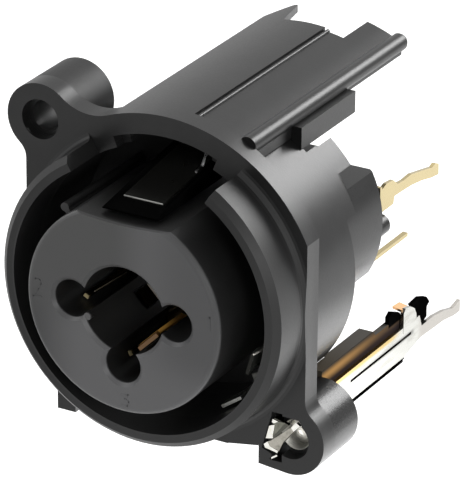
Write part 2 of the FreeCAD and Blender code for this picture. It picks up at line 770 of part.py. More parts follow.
def ground_carrier():
    """Rail beside the ground strip, with a thin skirt that carries a lug and a hook."""
    x, z = ear_2
    x1 = x + ground_x - carrier_play
    rear = ear_depths[1] + carrier_gap
    clear = rear + sheet + carrier_gap
    top = z + carrier_top_z
    shelf = z + carrier_shelf_z
    low = z + carrier_low_z
    c = carrier_chamfer
    rail = profile_yz([(rear, shelf), (rear, top), (carrier_end - c, top), (carrier_end, top - c),
                       (carrier_end, shelf - carrier_step), (clear, shelf - carrier_step), (clear, shelf)],
                      x1 - carrier_t, x1)
    outline = [(clear, shelf + carrier_step)] + [(y, z + dz) for y, dz in carrier_lug_and_hook]
    outline += [(carrier_low_end, low), (clear, low)]
    skirt = profile_yz(outline, x1 - carrier_skirt_t, x1)
    step = block(x1 - carrier_skirt_t, x + ground_x + sheet, clear, carrier_low_end, low,
                 z + ground_low_z - carrier_play)
    return rail.multiFuse([skirt, step]).cut(cylinder(barrel_r + seat_clearance, 0, barrel_end))


def lever_top_at(y):
    """Height of the lever's sloping top."""
    share = (y - lever_front) / (pivot_y - lever_front)
    return lever_nose_top_z + share * (lever_top_z - lever_nose_top_z)


def retention_lever():
    """Latch lever: a wedge that the plug's shell lifts, hinged at the back."""
    x0 = -lever_half_width
    x1 = lever_half_width
    c = lever_nose_chamfer
    b = lever_brow
    boss_low_z = pivot_z - lever_boss_r
    outline = [(lever_nose + c, lever_low_z), (lever_nose, lever_low_z + c),
               (lever_front - b, lever_nose_top_z + b), (lever_front, lever_nose_top_z), (pivot_y, lever_top_z), (pivot_y, boss_low_z + lever_boss_step),
               (pivot_y - lever_boss_run, boss_low_z), (lever_belly_y, lever_low_z)]
    arm = profile_yz(outline, x0, x1)
    rise = lever_top_at(pivot_y) - lever_top_at(lever_nose)
    slope = V(0, pivot_y - lever_nose, rise)
    front = lever_nose - b
    bevel = prism([V(x0 - b, front, lever_low_z), V(x0 - b, front, lever_low_z + 2 * lever_bevel_depth),
                   V(x0 + lever_bevel_width, front, lever_low_z + lever_bevel_depth + 3 * b)], slope)
    boss = Part.makeCylinder(lever_boss_r, x1 - x0, V(x0, pivot_y, pivot_z), V(1, 0, 0))
    lever = arm.cut(bevel).fuse(boss)
    bore = Part.makeCylinder(pin_radius + running_gap, 2 * x1 + 2, V(x0 - 1, pivot_y, pivot_z),
                             V(1, 0, 0))
    return lever.cut(bore)


def lever_leaf():
    """Steel leaf on the lever's sloping top."""
    z0 = lever_top_at(leaf_front)
    z1 = lever_top_at(leaf_end)
    outline = [(leaf_front, z0), (leaf_end, z1), (leaf_end, z1 + leaf_t), (leaf_front, z0 + leaf_t)]
    return profile_yz(outline, leaf_left, leaf_right)


def lever_pivot_pin():
    """Axle of the lever, held in the two cheeks."""
    x0 = left_cheek_x - cheek_t
    return Part.makeCylinder(pin_radius, right_cheek_x + cheek_t - x0, V(x0, pivot_y, pivot_z), V(1, 0, 0))


def wire(points, r):
    """Thin wire along straight runs that overlap a little at each bend."""
    solids = []
    for start, end in zip(points, points[1:]):
        run = end - start
        side = run.cross(V(0.31, 0.12, 1)).normalize() * r
        other = run.cross(side).normalize() * r
        extra = V(run).normalize() * (0.5 * r)
        ring = [start - extra + side * math.cos(math.radians(60 * k)) + other * math.sin(math.radians(60 * k))
                for k in range(6)]
        solids.append(prism(ring, run + extra * 2))
    return solids


def lever_return_spring():
    """Close-wound coil round the pin, whose long leg bends down onto the lever near its front."""
    inner = pin_radius + coil_play
    crest = inner + 2 * coil_wire_r
    pitch = 2 * coil_wire_r
    start = 0.5 * (lever_half_width + right_cheek_x - pitch * coil_turns)
    end = start + pitch * coil_turns
    outline = [(end, inner), (start, inner)]
    for k in range(coil_turns):
        x = start + pitch * k
        outline += [(x, inner + coil_wire_r), (x + 0.3 * pitch, crest), (x + 0.7 * pitch, crest)]
    outline.append((end, inner + coil_wire_r))
    corners = [V(x, pivot_y, pivot_z + r) for x, r in outline]
    face = Part.Face(Part.makePolygon(corners + corners[:1]))
    coil = face.revolve(V(0, pivot_y, pivot_z), V(1, 0, 0), 360)
    level = pivot_z + inner + coil_wire_r
    foot_z = lever_top_at(leg_tip_y) + leaf_t + wire_r + leg_gap
    run_x = channel_half_width - leg_inset
    first_x = start + coil_wire_r
    last_x = end - coil_wire_r
    long_run = wire([V(first_x, pivot_y, level), V(first_x, pivot_y - leg_exit, level),
                     V(run_x, pivot_y - leg_inward, level), V(run_x, leg_bend_y, level - leg_drop),
                     V(run_x, leg_foot_y, foot_z + leg_foot_rise), V(run_x, leg_tip_y, foot_z)], wire_r)
    short_run = wire([V(last_x, pivot_y, level), V(last_x, pivot_y + short_leg, level)], wire_r)
    return coil.multiFuse(long_run + short_run)


os.makedirs("parts", exist_ok=True)
save(housing(), "housing")
save(front_insert(), "front_insert")
save(contact_block(), "contact_block")
save(rear_cover(), "rear_cover")
for number in (1, 2, 3):
    save(xlr_contact(number), "pin_contact_%d" % number)
for position in spring_angles:
    save(jack_spring(position), "jack_%s_spring" % position)
save(shell_ground_spring(), "shell_ground_spring")
save(ground_contact(), "ground_contact")
save(ground_carrier(), "ground_carrier")
save(retention_lever(), "retention_lever")
save(lever_leaf(), "lever_leaf")
save(lever_pivot_pin(), "lever_pivot_pin")
save(lever_return_spring(), "lever_return_spring")
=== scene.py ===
# %% [markdown]
# # Panel socket for a three-pin plug or a jack plug
#
# The packed model comes in as a fixed frame: its seventeen nodes are the real pieces, and they stay
# where they are. This script dresses them. It gives every piece a procedural finish, adds the small
# details that the solids leave plain, and sets up a pale studio with the photograph's camera.
# Lengths in the lists are in millimetres, and MM turns them into Blender's metres. X runs to the
# right, Y back through the panel and Z up, from the middle of the flange's front face.

# %% Load the frame
import math
import bpy
import numpy as np
from mathutils import Matrix, Vector


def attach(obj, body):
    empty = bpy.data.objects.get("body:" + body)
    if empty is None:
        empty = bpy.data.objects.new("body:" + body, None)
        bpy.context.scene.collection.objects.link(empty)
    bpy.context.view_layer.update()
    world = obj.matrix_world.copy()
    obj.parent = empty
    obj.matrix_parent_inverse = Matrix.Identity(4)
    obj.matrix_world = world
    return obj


MM = 0.001
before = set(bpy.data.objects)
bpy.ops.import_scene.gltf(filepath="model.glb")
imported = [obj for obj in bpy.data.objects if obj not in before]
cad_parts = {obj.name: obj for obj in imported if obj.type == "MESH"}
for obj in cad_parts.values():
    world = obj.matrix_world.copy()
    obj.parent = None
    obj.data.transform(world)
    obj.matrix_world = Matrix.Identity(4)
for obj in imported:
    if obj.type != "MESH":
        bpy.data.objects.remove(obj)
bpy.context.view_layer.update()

# %% [markdown]
# ## One method for every node
#
# A real surface is never one plain colour, and each of its marks takes a few shader nodes. They
# could be wired by hand, each with its own lines, but then a change of one mark is ten lines. Here a
# `Tree` makes every node in one method. It sets the node's settings first, because some sockets only
# exist after that, and then gives each socket a value or a link.


# %% Tree
class Tree:
    """A shader tree, and the one method that adds a node to it."""

    def __init__(self, tree):
        self.tree = tree

    def plug(self, socket, value):
        """Feeds a socket with a Value, with a colour of three numbers, or with a plain setting."""
        if isinstance(value, Value):
            self.tree.links.new(value.output, socket)
        elif isinstance(value, tuple) and socket.type == "RGBA":
            socket.default_value = (*value, 1.0)
        else:
            socket.default_value = value

    def node(self, kind, settings=None, sockets=None):
        """A node of this kind, with its settings, and a value or a link for each socket named."""
        node = self.tree.nodes.new(kind)
        for name, setting in (settings or {}).items():
            setattr(node, name, setting)
        for name, value in (sockets or {}).items():
            self.plug(node.inputs[name], value)
        return node


print("a Tree has", [name for name in vars(Tree) if not name.startswith("__")])

# %% [markdown]
# ## Shader maths
#
# Where a mark ends on the real piece depends on how far along, how high or how far from the axis a
# point lies. That could be a chain of Math nodes with every link written down, but it is easier to
# read as a formula. A `Value` wraps one output of the tree, and the ordinary operators on it add the
# Math nodes. Their reflected forms are there too, so that `1.0 - mask` works.


# %% Value
class Value:
    """One output of a shader tree, with operators that add Math nodes."""

    def __init__(self, owner, output):
        self.owner = owner
        self.output = output

    def math(self, operation, first, second, clamp=False):
        """A Math node with this operation on two values or numbers."""
        settings = {"operation": operation, "use_clamp": clamp}
        node = self.owner.node("ShaderNodeMath", settings, {0: first, 1: second})
        return Value(self.owner, node.outputs[0])

    def __add__(self, other):
        return self.math("ADD", self, other)

    __radd__ = __add__

    def __sub__(self, other):
        return self.math("SUBTRACT", self, other)

    def __rsub__(self, other):
        return self.math("SUBTRACT", other, self)

    def __mul__(self, other):
        return self.math("MULTIPLY", self, other)

    __rmul__ = __mul__

    def __truediv__(self, other):
        return self.math("DIVIDE", self, other)

    def __rtruediv__(self, other):
        return self.math("DIVIDE", other, self)

    def clamped(self):
        """The value, held between 0 and 1."""
        return self.math("ADD", self, 0.0, clamp=True)

    def ramp(self, low, high):
        """0 at low, 1 at high and smooth between them; low may be the greater of the two."""
        sockets = {"Value": self, "From Min": low, "From Max": high}
        node = self.owner.node("ShaderNodeMapRange", {"interpolation_type": "SMOOTHSTEP"}, sockets)
        return Value(self.owner, node.outputs["Result"])


print("a Value's reflected forms:", [name for name in vars(Value) if name.startswith("__r")])

# %% [markdown]
# ## A finish
#
# A `Finish` is one material with a Principled shader. Its patterns could follow a UV map, but the
# solids have none, so they read Object coordinates: each piece's object sits at the origin with its
# place in its mesh, so a place on the surface is a place in the part, and one formula can tell the
# front of a piece from its back. Colours are blended with Mix nodes, because a Math node keeps only
# their brightness. `tint` blends one more colour over what the finish has so far.


# %% Finish
class Finish(Tree):
    """One material, built from formulas in the part's own coordinates."""

    def __init__(self, name, roughness, metallic=0.0):
        self.material = bpy.data.materials.new(name)
        self.material.use_nodes = True
        super().__init__(self.material.node_tree)
        self.shader = self.tree.nodes["Principled BSDF"]
        self.set("Roughness", roughness)
        self.set("Metallic", metallic)
        self.place = Value(self, self.node("ShaderNodeTexCoord").outputs["Object"])

    def set(self, name, value):
        """Feeds a socket of the shader itself."""
        self.plug(self.shader.inputs[name], value)

    def noise(self, size, detail=2.0, stretch=(1.0, 1.0, 1.0)):
        """Cloudy noise from 0 to 1 with patches of about the given size in millimetres."""
        mapping = self.node("ShaderNodeMapping", None, {"Scale": stretch, "Vector": self.place})
        sockets = {"Vector": Value(self, mapping.outputs["Vector"]), "Scale": 1.0 / (size * MM),
                   "Detail": detail}
        return Value(self, self.node("ShaderNodeTexNoise", None, sockets).outputs["Fac"])

    def place_mm(self):
        """The place along X, Y and Z, each as a Value in millimetres."""
        node = self.node("ShaderNodeSeparateXYZ", None, {0: self.place})
        return [Value(self, node.outputs[axis]) / MM for axis in "XYZ"]

    def mix(self, first, second, share):
        """The first colour where share is 0, and the second where it is 1."""
        node = self.node("ShaderNodeMix", {"data_type": "RGBA"}, {0: share})
        for socket, colour in zip([s for s in node.inputs if s.type == "RGBA"], (first, second)):
            self.plug(socket, colour)
        return Value(self, next(s for s in node.outputs if s.type == "RGBA"))

    def paint(self, colour):
        """Makes this colour, plain or worked out, the finish's own."""
        self.colour = colour
        self.set("Base Color", colour)

    def tint(self, colour, share):
        """Blends a colour over the finish's own where share is 1."""
        self.paint(self.mix(self.colour, colour, share))

    def bump(self, height, depth):
        """Raises the surface by height times depth in millimetres, in its shading only."""
        sockets = {"Strength": 1.0, "Distance": depth * MM, "Height": height}
        bumped = self.node("ShaderNodeBump", None, sockets)
        self.set("Normal", Value(self, bumped.outputs["Normal"]))


def grey(level):
    """A neutral colour: the same brightness for red, green and blue."""
    return (level, level, level)


print("a Finish has", [name for name in vars(Finish) if not name.startswith("__")])

# %% [markdown]
# ## Moulded plastic and plated metal
#
# The real housing is charcoal polyamide from a spark-eroded mould. It could have one flat colour, or
# an image of real plastic, but a small part close to the lens only shows two things: a faint cloud
# in the colour, a few millimetres wide, and a grain of about a sixth of a millimetre that breaks up
# the shine. Two noises give both at the right scale from any distance.
#
# The contacts are stamped strip with a plated skin. Rolling leaves soft streaks along the strip, so
# the metal's noise is stretched along Y, the way that most strips run.


# %% Plastic and metal
CLOUD_SIZE, GRAIN_SIZE, STREAK_SIZE = 2.5, 0.16, 0.6
CLOUD_DETAIL = STREAK_DETAIL = 3.0
CLOUD_STEP, STREAK_STEP = (0.3, 0.7), (0.45, 0.8)
GRAIN_ROUGHNESS, STREAK_ROUGHNESS = 0.12, 0.18
NOISE_MIDDLE = 0.5
PLASTIC_IOR, MATT_IOR = 1.45, 1.0
ALONG_Y = (1.0, 0.2, 1.0)


def moulded(name, dark, light, roughness, grain=0.004, shine=0.5):
    """Plastic, cloudy from dark to light; shine 0 is dead matt, and 0.5 the usual gloss."""
    finish = Finish(name, roughness)
    cloud, fine = finish.noise(CLOUD_SIZE, CLOUD_DETAIL), finish.noise(GRAIN_SIZE)
    finish.paint(finish.mix(dark, light, cloud.ramp(*CLOUD_STEP)))
    finish.rough = roughness + GRAIN_ROUGHNESS * (fine - NOISE_MIDDLE)
    finish.set("Roughness", finish.rough)
    finish.set("Specular IOR Level", shine)
    finish.set("IOR", PLASTIC_IOR if shine else MATT_IOR)
    finish.bump(fine, grain)
    return finish


def plated(name, colour, tarnish, roughness, stretch=ALONG_Y):
    """Metal, with streaks of tarnish that are also a little rougher."""
    finish = Finish(name, roughness, metallic=1.0)
    streak = finish.noise(STREAK_SIZE, STREAK_DETAIL, stretch)
    finish.paint(finish.mix(colour, tarnish, streak.ramp(*STREAK_STEP)))
    finish.set("Roughness", roughness + STREAK_ROUGHNESS * (streak - NOISE_MIDDLE))
    return finish


print("patches in mm: cloud", CLOUD_SIZE, "grain", GRAIN_SIZE, "streak", STREAK_SIZE)

# %% [markdown]
# ## Housing
#
# One moulding makes the collar, the flange, the ears and the roof. Its outside is charcoal, and its
# ear bosses differ a little in gloss. The lower right of the flange is painted a shade paler, as
# painted light where more light falls, and the cavity is a shade paler too. The space round the
# latch is painted nearly black, as painted shade. Each of these could be a material of its own, but
# hard borders would show. Here each is a mask, 0 or 1 with a soft step between, made of ramps along
# the axes or from the plug's axis, and the masks blend one finish into the next. A distance from the
# axis is left squared, which saves a root: 121 is 11 mm.

# %% Housing finish
FLANGE_LIT_GREY, CAVITY_GREY, WINDOW_SHADE_BLACK = grey(0.030), grey(0.034), grey(0.002)
DULLER_BOSS, GLOSSIER_BOSS, DULLER_COLLAR, DULL_WINDOW = 0.20, 0.08, 0.10, 0.4

housing_finish = moulded("housing_plastic", grey(0.010), grey(0.014), 0.35, shine=0.38)
across, depth, height = housing_finish.place_mm()
from_axis = across * across + height * height
behind_flange = depth.ramp(1.7, 1.9)
upper_boss = across.ramp(-7.6, -8.4) * height.ramp(7.6, 8.4) * behind_flange
above_bottom = height.ramp(-11.5, -10.0)
lower_boss = across.ramp(7.2, 8.0) * height.ramp(-7.2, -8.0) * above_bottom * behind_flange
on_collar = depth.ramp(-0.3, -0.6)
lit_lower_right = depth.ramp(1.5, 0.5) * (across - height).ramp(-4.0, 12.0)
in_cavity = from_axis.ramp(121.0, 117.0) * height.ramp(6.0, 3.0)
shaded_window = from_axis.ramp(126.0, 124.0) * height.ramp(3.5, 6.0) * depth.ramp(0.02, 0.06)
# Painted light: the flange's lower right is paler where more light falls on it.
housing_finish.tint(FLANGE_LIT_GREY, lit_lower_right)
housing_finish.tint(CAVITY_GREY, in_cavity)
# Painted shade: the space round the latch is nearly black.
housing_finish.tint(WINDOW_SHADE_BLACK, shaded_window)
boss_change = DULLER_BOSS * upper_boss - GLOSSIER_BOSS * lower_boss
front_change = DULLER_COLLAR * on_collar + DULL_WINDOW * shaded_window
housing_finish.set("Roughness", housing_finish.rough + boss_change + front_change)
print("housing finish:", len(housing_finish.tree.nodes), "shader nodes")

# %% [markdown]
# ## Insert, drum and rear cover
#
# The insert's front face is clearly paler than the insert's side: painted light, for the light that
# falls on the face. A second material on the face would need a split mesh, so the colour follows the
# place instead: forward of y = -5.85 it turns to a painted light grey, with painted shade at the
# left, palest at the bottom and halfway at the top and the right. Within 6.6 mm of the axis the side
# walls are those of the bore and the pin openings, a deep black. The drum behind is smoother, and
# the cover in its back is a plain black plate.

# %% Insert, drum and cover finishes
FACE_LEFT, FACE_PALE = (0.030, 0.030, 0.031), (0.128, 0.128, 0.131)
FACE_RIGHT, FACE_UPPER = (0.082, 0.082, 0.084), grey(0.070)
BORE_BLACK = grey(0.011)

insert_finish = moulded("insert_plastic", grey(0.010), grey(0.014), 0.45)
across, depth, height = insert_finish.place_mm()
right_part = across.ramp(0.0, 6.0) * height.ramp(-6.0, -2.0)
upper_left = across.ramp(3.0, -1.0) * height.ramp(-3.0, 2.0)
# Painted light: the face is paler than the side, darker towards the left and palest at the bottom.
painted_face_light = insert_finish.mix(FACE_LEFT, FACE_PALE, across.ramp(-9.0, -3.0))
painted_face_light = insert_finish.mix(painted_face_light, FACE_RIGHT, right_part)
painted_face_light = insert_finish.mix(painted_face_light, FACE_UPPER, upper_left)
insert_finish.tint(BORE_BLACK, (across * across + height * height).ramp(46.0, 42.0))
insert_finish.tint(painted_face_light, depth.ramp(-5.85, -6.0))

block_finish = moulded("block_plastic", grey(0.006), grey(0.009), 0.30, shine=0.30)
cover_finish = moulded("cover_plastic", grey(0.010), grey(0.014), 0.50)
print("insert finish:", len(insert_finish.tree.nodes), "shader nodes")

# %% [markdown]
# ## Pin contacts and jack springs
#
# The contacts are gilt brass. One gold for the whole length would be simpler, but three places
# differ. At the tips a mirror would only show the dark opening, so the tips are nearly without metal
# reflection and glow in the little light that falls in. From just behind the tips to the drum the
# gold is painted dark, as painted shade inside the openings, and the tails outside are a paler gold.
# The spring leaf in the jack bore keeps its warm orange on its lower right side, where light falls
# on it, and elsewhere it is painted dark, as painted shade.

# %% Gold and brass
SHADED_GOLD, TAIL_GOLD = (0.06, 0.04, 0.015), (0.46, 0.38, 0.20)
CUT_BRASS, SHADED_BRASS = (0.13, 0.065, 0.02), (0.05, 0.035, 0.015)
TAIL_STEP = 17.4, 17.9

gold_finish = plated("gold_contact", (0.95, 0.80, 0.45), (0.80, 0.60, 0.28), 0.24)
depth = gold_finish.place_mm()[1]
# Painted shade: the gold is dark from just behind the tips to the drum.
gold_finish.tint(SHADED_GOLD, depth.ramp(-3.0, -2.7))
gold_finish.tint(TAIL_GOLD, depth.ramp(*TAIL_STEP))
gold_finish.set("Metallic", 1.0 - 0.95 * depth.ramp(-3.0, -3.15))

jack_finish = plated("jack_spring_metal", (0.90, 0.48, 0.10), (0.50, 0.24, 0.05), 0.34)
across, depth, height = jack_finish.place_mm()
lit_part = height.ramp(0.0, -0.4) * across.ramp(0.2, 0.5) * depth.ramp(3.5, 0.5)
jack_finish.tint(CUT_BRASS, depth.ramp(-5.52, -5.60))
# Painted shade: the spring leaf is dark except on its lit lower right side.
jack_finish.tint(SHADED_BRASS, 1.0 - lit_part)
jack_finish.tint(TAIL_GOLD, depth.ramp(*TAIL_STEP))
jack_finish.set("Metallic", 1.0 - 0.6 * lit_part)
print("gold finish:", len(gold_finish.tree.nodes), "nodes, jack finish:",
      len(jack_finish.tree.nodes), "nodes")

# %% [markdown]
# ## Ground strip and its carrier
#
# The strip by the lower ear is tinned, with the brass showing through along its top edge, a shadow
# round its long slot and darker tongues at the ear. The black carrier above it has a brown painted
# highlight, in a band that fades towards the back. Painted maps could show this, but both depend
# only on how far along and how high a point is. So each mark is a product of ramps, with heights
# measured from the lower ear's centre.

# %% Ground strip
EAR_X, EAR_Z = 10.862, -10.489
EDGE_BRASS, SLOT_SHADE = (0.50, 0.36, 0.12), (0.20, 0.20, 0.185)
TONGUE_METAL, STRIP_TAIL = (0.10, 0.10, 0.085), (0.40, 0.38, 0.35)

strip_finish = plated("ground_strip_metal", (0.50, 0.50, 0.47), (0.38, 0.375, 0.34), 0.24)
across, depth, height = strip_finish.place_mm()
height = height - EAR_Z
round_slot = height.ramp(0.50, 0.80) * height.ramp(1.18, 0.88)
strip_finish.tint(EDGE_BRASS, height.ramp(1.30, 1.62) * depth.ramp(18.1, 16.0))
strip_finish.tint(SLOT_SHADE, round_slot * depth.ramp(8.0, 15.0) * depth.ramp(20.2, 19.6))
strip_finish.tint(TONGUE_METAL, depth.ramp(5.6, 5.4))
strip_finish.tint(STRIP_TAIL, depth.ramp(20.4, 21.4))
print("strip finish:", len(strip_finish.tree.nodes), "shader nodes")

# %% [markdown]
# ## Painted highlight on the carrier
#
# The band is a painted highlight, warm in colour, on the carrier's side, and a greyer painted sheen
# lies on its top. It is warm and bright near the ear, fades with the distance, and darkens above and
# below. It could be a strip of its own, laid on the carrier, but it has no edge of its own on the
# real piece. So it is one more colour over the black, held to the rail by a mask that leaves out the
# lug and the hook.

# %% Carrier
HIGHLIGHT_NEAR, HIGHLIGHT_FAR = (0.50, 0.28, 0.10), (0.13, 0.085, 0.050)
HIGHLIGHT_BELOW, HIGHLIGHT_ABOVE = (0.040, 0.030, 0.030), (0.055, 0.050, 0.045)
TOP_SHEEN_NEAR, TOP_SHEEN_FAR = (0.100, 0.085, 0.065), (0.150, 0.140, 0.128)

carrier_finish = moulded("carrier_plastic", grey(0.002), grey(0.004), 0.4, grain=0.001, shine=0.0)
across, depth, height = carrier_finish.place_mm()
height = height - EAR_Z
# Painted highlight on the rail's side and painted sheen on its top, over the matt black.
band = carrier_finish.mix(HIGHLIGHT_NEAR, HIGHLIGHT_FAR, depth.ramp(6.5, 16.0))
band = carrier_finish.mix(HIGHLIGHT_BELOW, band, height.ramp(2.0, 2.75))
band = carrier_finish.mix(band, HIGHLIGHT_ABOVE, height.ramp(2.7, 3.3))
top_sheen = carrier_finish.mix(TOP_SHEEN_NEAR, TOP_SHEEN_FAR, depth.ramp(5.5, 12.0))
rail_light = carrier_finish.mix(top_sheen, band, across.ramp(10.56, 10.575))
under_lug = depth.ramp(18.1, 18.0) * height.ramp(2.55, 2.35)
along_rail = (depth.ramp(16.25, 16.2) + under_lug).clamped()
carrier_finish.tint(rail_light, along_rail * height.ramp(1.2, 1.4) * height.ramp(3.4, 3.35))
print("carrier finish:", len(carrier_finish.tree.nodes), "shader nodes")

# %% [markdown]
# ## Latch, and steel inside the collar
#
# The lever is dead matt plastic. The leaf on it is blackened spring steel. It could be a full
# mirror, but that would show the pale studio, so only part of its reflections are kept. The lip at
# the leaf's front is a paler steel, a painted highlight along its edge. The pivot pin and the coil
# are plain steel. The fingers that press on a plug's shell are bright too, except at their front
# ends, which a ramp along Y darkens as painted shade.

# %% Latch and steel finishes
FINGER_TIP_SHADE = (0.02, 0.02, 0.018)

lever_finish = moulded("lever_plastic", grey(0.0040), grey(0.0060), 0.34, shine=0.0)
leaf_finish = plated("leaf_steel", (0.026, 0.026, 0.024), (0.018, 0.018, 0.016), 0.24)
leaf_finish.set("Metallic", 0.6)
leaf_finish.set("Specular IOR Level", 0.2)
# Painted highlight: the lip at the leaf's front is a paler steel.
lip_highlight_finish = plated("leaf_lip_highlight", (0.36, 0.36, 0.34), (0.20, 0.20, 0.19), 0.35)
lip_highlight_finish.set("Metallic", 0.4)
pin_finish = plated("pin_steel", (0.66, 0.67, 0.68), grey(0.52), 0.28)
spring_finish = plated("spring_steel", grey(0.80), grey(0.60), 0.28)
steel_finish = plated("ground_steel", (0.55, 0.56, 0.52), (0.30, 0.30, 0.27), 0.30)
# Painted shade: the fingers' front ends are dark.
steel_finish.tint(FINGER_TIP_SHADE, steel_finish.place_mm()[1].ramp(-4.26, -4.28))
print("materials so far:", len(bpy.data.materials))

# %% [markdown]
# ## Finishes on the nodes
#
# The carried-over nodes are the real pieces, and their meshes already have the chamfers and fillets
# that show. They could be copied and reworked, but a copy would drift from the solids, so each node
# keeps its mesh and only gets its material.

# %% Dress the nodes
NODE_FINISH = {
    "housing": housing_finish,
    "front_insert": insert_finish,
    "contact_block": block_finish,
    "rear_cover": cover_finish,
    "pin_contact_1": gold_finish,
    "pin_contact_2": gold_finish,
    "pin_contact_3": gold_finish,
    "jack_sleeve_spring": jack_finish,
    "jack_ring_spring": jack_finish,
    "jack_tip_spring": jack_finish,
    "shell_ground_spring": steel_finish,
    "ground_contact": strip_finish,
    "ground_carrier": carrier_finish,
    "retention_lever": lever_finish,
    "lever_leaf": leaf_finish,
    "lever_pivot_pin": pin_finish,
    "lever_return_spring": spring_finish,
}

for name, finish in NODE_FINISH.items():
    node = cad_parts[name]
    node.data.materials.clear()
    node.data.materials.append(finish.material)
print("dressed", len(NODE_FINISH), "nodes")

# %% [markdown]
# ## Swept shapes
#
# The small details are strokes, plates, bars and a bent sleeve. Each could be a primitive that is
# scaled and turned, but all of them are one kind of surface: a closed profile carried along a path,
# with flat ends. The points form a grid, one row for each stop on the path and one column for each
# corner of the profile, so numpy makes them all at once, and the faces follow from the grid's
# numbering. The sign of the volume tells whether the faces point outwards, and if they don't, every
# face is turned round.


# %% Sweep
def sweep(rows):
    """Points and faces of a closed shape, from one row of profile points for each stop.

    A side face joins corners k and k + 1 of one stop to the same corners of the next, and the first
    and last rows are the flat ends. The volume inside has the sign of the sum, over the triangles of
    the side faces, of the triple product of their corners as seen from the middle.
    """
    rows = np.asarray(rows, float)
    stops, corners, _ = rows.shape
    grid = np.arange(stops * corners).reshape(stops, corners)
    beside = np.roll(grid, -1, axis=1)
    sides = np.stack([grid[:-1], beside[:-1], beside[1:], grid[1:]], axis=-1).reshape(-1, 4)
    faces = sides.tolist() + [grid[0, ::-1].tolist(), grid[-1].tolist()]
    points = rows.reshape(-1, 3)
    middle = points.mean(axis=0)
    a, b, c, d = np.moveaxis(points[sides] - middle, 1, 0)
    if (np.cross(a, b) * c + np.cross(a, c) * d).sum() < 0:
        faces = [face[::-1] for face in faces]
    return points, faces


def plate(outline, thickness):
    """A flat plate: the outline, and the same outline moved by the thickness vector."""
    outline = np.asarray(outline, float)
    return sweep(np.stack([outline, outline + np.asarray(thickness, float)]))


def rod(start, end, radius, sides=8):
    """A round bar: a circle, first times cos t plus second times sin t, carried along a line."""
    run = (Vector(end) - Vector(start)).normalized()
    first = run.orthogonal().normalized()
    second = run.cross(first)
    turn = np.linspace(0.0, 2.0 * math.pi, sides, endpoint=False)[:, None]
    circle = radius * (np.cos(turn) * np.array(first) + np.sin(turn) * np.array(second))
    return sweep(np.stack([circle + np.array(start), circle + np.array(end)]))


def joined(shapes):
    """Several shapes as one: their points in one array, and each shape's faces numbered on."""
    starts = np.cumsum([0] + [len(points) for points, _ in shapes]).tolist()
    faces = [[start + corner for corner in face]
             for start, (_, own_faces) in zip(starts, shapes) for face in own_faces]
    return np.vstack([points for points, _ in shapes]), faces


corner_points, corner_faces = plate([(0, 0, 0), (1, 0, 0), (1, 0, 1), (0, 0, 1)], (0, 1, 0))
print("a plate with four corners has", len(corner_points), "points and", len(corner_faces), "faces")

# %% [markdown]
# ## From a shape to a piece
#
# A mesh could be filled point by point through Blender's operators, which is slow and needs the
# right mode. `from_pydata` takes all points and faces at once. The object stays at the origin,
# unturned and unscaled, with its place in its mesh, as the nodes are. Every piece rides on a body of
# the frame, so that it moves with the latch or stays with the socket.


# %% Add a piece
def add_piece(name, shape, finish, body="socket", smooth=False):
    """A mesh object from a shape in millimetres, which rides on a body of the frame."""
    points, faces = shape
    mesh = bpy.data.meshes.new(name)
    mesh.from_pydata((points * MM).tolist(), [], faces)
    mesh.materials.append(finish.material)
    mesh.polygons.foreach_set("use_smooth", np.full(len(faces), smooth))
    piece = bpy.data.objects.new(name, mesh)
    bpy.context.scene.collection.objects.link(piece)
    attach(piece, body)
    print(name, "has", len(faces), "faces")


print("meshes before the new pieces:", len(bpy.data.meshes))

# %% [markdown]
# ## Pin numbers
#
# The numbers 1, 2 and 3 beside the openings stand a hair proud of the face. A text object would
# bring a typeface along, with hundreds of faces in a figure of a millimetre. So each figure is a few
# straight strokes: a thin plate from one corner of the figure's path to the next, a little longer
# than the gap so that the strokes meet.

# %% Figures on the insert's face
FACE_Y = -6.3
STROKE_WIDTH, STROKE_HEIGHT, STROKE_ROOT, STROKE_OVERLAP = 0.10, 0.02, 0.02, 0.04
# For each figure: its lower left corner on the face, its height, and its path in a box 1 high.
FIGURES = {
    "1": ((7.19, 0.30), 1.05, [(0.0, 0.72), (0.3, 1.0), (0.3, 0.0)]),
    "2": ((-7.62, -0.46), 1.5, [(0.0, 0.8), (0.14, 0.98), (0.38, 0.96), (0.44, 0.74), (0.3, 0.45),
                                (0.0, 0.0), (0.46, 0.06)]),
    "3": ((0.0, -7.66), 1.0, [(0.0, 0.9), (0.56, 1.0), (0.3, 0.62), (0.6, 0.42), (0.5, 0.08),
                              (0.0, 0.0)]),
}


def stroke(start, end):
    """A thin plate from start to end, given as (x, z), on the insert's face.

    Its corners are the two ends, each moved on by the overlap and to either side by half the width.
    """
    run = (end - start) / np.linalg.norm(end - start)
    half = 0.5 * STROKE_WIDTH * np.array([-run[1], run[0]])
    start, end = start - run * STROKE_OVERLAP, end + run * STROKE_OVERLAP
    corners = np.array([start - half, end - half, end + half, start + half])
    outline = np.insert(corners, 1, FACE_Y - STROKE_HEIGHT, axis=1)
    return plate(outline, (0.0, STROKE_HEIGHT + STROKE_ROOT, 0.0))


for digit, (corner, size, path) in FIGURES.items():
    path = np.array(corner) + size * np.array(path)
    figure = joined([stroke(start, end) for start, end in zip(path, path[1:])])
    add_piece("pin_number_" + digit, figure, insert_finish)

# %% [markdown]
# ## Sleeve in the lower ear
#
# A sprung metal sleeve lines the lower ear's hole. A tube cut open would do, but the sleeve only
# covers a little over half of the wall. So its cross-section, a rectangle in radius and depth, is
# carried along an arc round the hole's axis, from 170 to 365 degrees.

